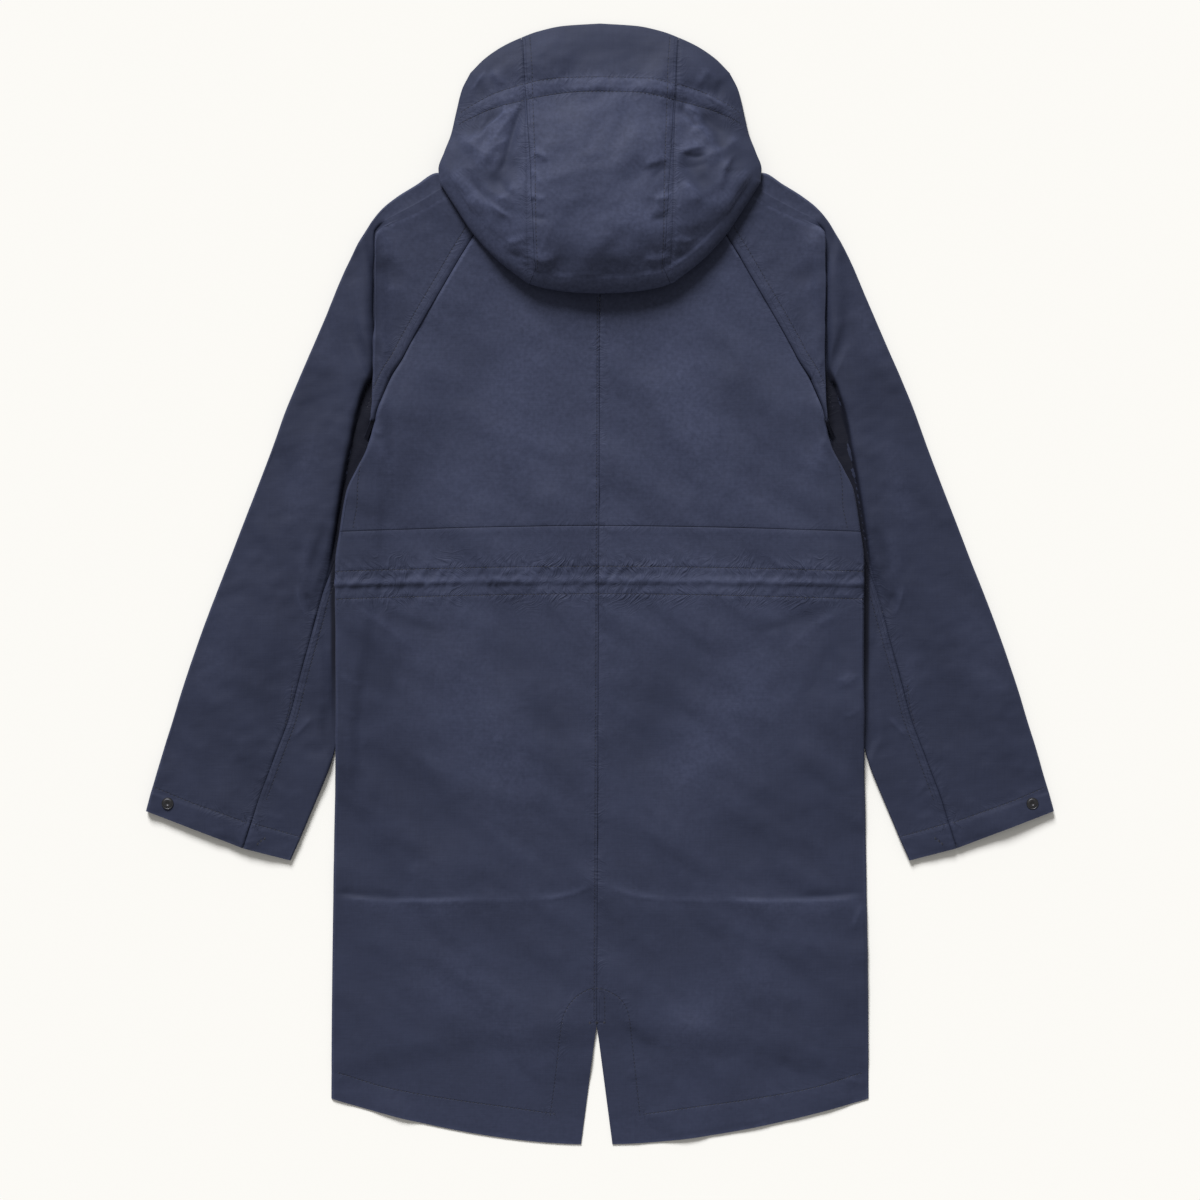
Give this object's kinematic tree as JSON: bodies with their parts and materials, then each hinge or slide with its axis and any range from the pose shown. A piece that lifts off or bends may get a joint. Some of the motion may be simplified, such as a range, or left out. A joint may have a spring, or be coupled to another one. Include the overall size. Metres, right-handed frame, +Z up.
{
  "type": "hooded parka",
  "caption": "Hooded knee-length parka laid flat face down, with raglan sleeves, a drawcord waist, a full hood and a fishtail hem with a centre vent.",
  "frame": {"origin": "on the surface that the parka lies on, in the middle of its box", "axes": "+X to the wearer's right, +Y towards the hood, +Z up out of the surface; the back of the parka faces up"},
  "size_m": [0.9518, 1.176, 0.047],
  "materials": {
    "shell": "navy cotton and nylon plain weave with a soft sheen",
    "shell_inside": "the same cloth where it is hidden",
    "snap": "dark gunmetal plated brass"
  },
  "bodies": {
    "root": {"back_upper_left": "shell", "back_upper_right": "shell", "back_lower_left": "shell", "back_lower_right": "shell", "front_left": "shell_inside", "front_right": "shell_inside", "sleeve_left": "shell", "sleeve_right": "shell", "under_sleeve_left": "shell", "under_sleeve_right": "shell", "hood_centre": "shell", "hood_left": "shell", "hood_right": "shell", "hood_under": "shell_inside", "snap_left": "snap", "snap_right": "snap"}
  },
  "joints": []
}
